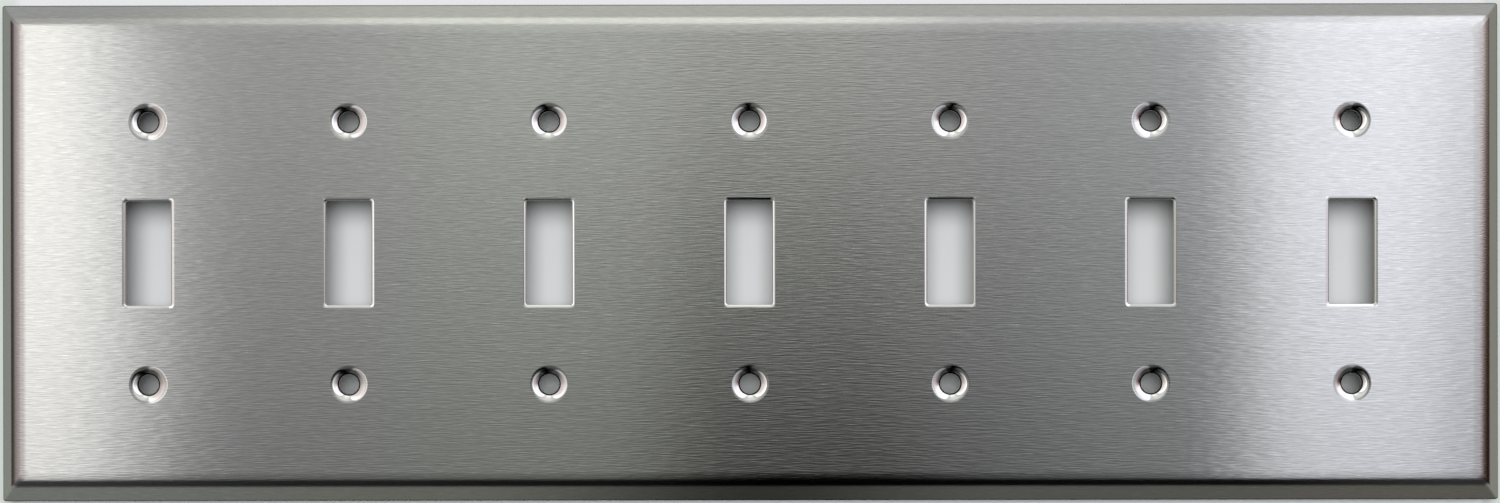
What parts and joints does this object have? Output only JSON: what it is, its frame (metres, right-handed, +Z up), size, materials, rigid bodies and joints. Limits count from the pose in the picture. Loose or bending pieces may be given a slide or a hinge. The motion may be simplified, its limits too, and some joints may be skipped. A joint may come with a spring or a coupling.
{
  "type": "toggle switch wall plate",
  "caption": "Flat stainless steel cover plate with sloping flanges, a row of toggle openings and dimpled screw holes above and below them.",
  "frame": {"origin": "middle of the rim that lies on the wall", "axes": "+X along the width, to the right of someone facing the plate; +Z up its height; +Y into the wall, so the face looks along -Y"},
  "size_m": [0.346, 0.0055, 0.1148],
  "materials": {
    "brushed_steel": "brushed along the plate's width"
  },
  "bodies": {
    "root": {"wall_plate": "brushed_steel"}
  },
  "joints": []
}
